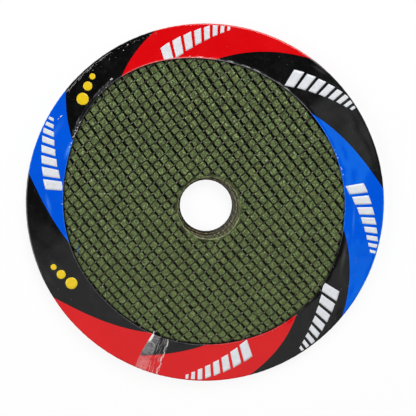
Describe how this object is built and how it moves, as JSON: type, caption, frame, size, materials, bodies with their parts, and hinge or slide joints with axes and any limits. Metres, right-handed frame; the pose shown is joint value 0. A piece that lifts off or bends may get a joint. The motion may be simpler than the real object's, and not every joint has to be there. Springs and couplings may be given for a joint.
{
  "type": "cut-off wheel",
  "caption": "Flat round abrasive cut-off wheel with a woven mesh face and a plain arbor bore, its rim wrapped in a striped glossy shrink film.",
  "frame": {"origin": "on the axis of the bore, at the underside of the film", "axes": "+Z along the bore, out of the front face; +X and +Y in the plane of the wheel, +Y up in the picture"},
  "size_m": [0.1075, 0.1074, 0.0036],
  "materials": {
    "abrasive": "rough bonded abrasive, mesh pressed into both faces",
    "film": "glossy printed film in red, black and blue fields"
  },
  "bodies": {
    "root": {"abrasive_wheel": "abrasive", "rim_film": "film"}
  },
  "joints": []
}
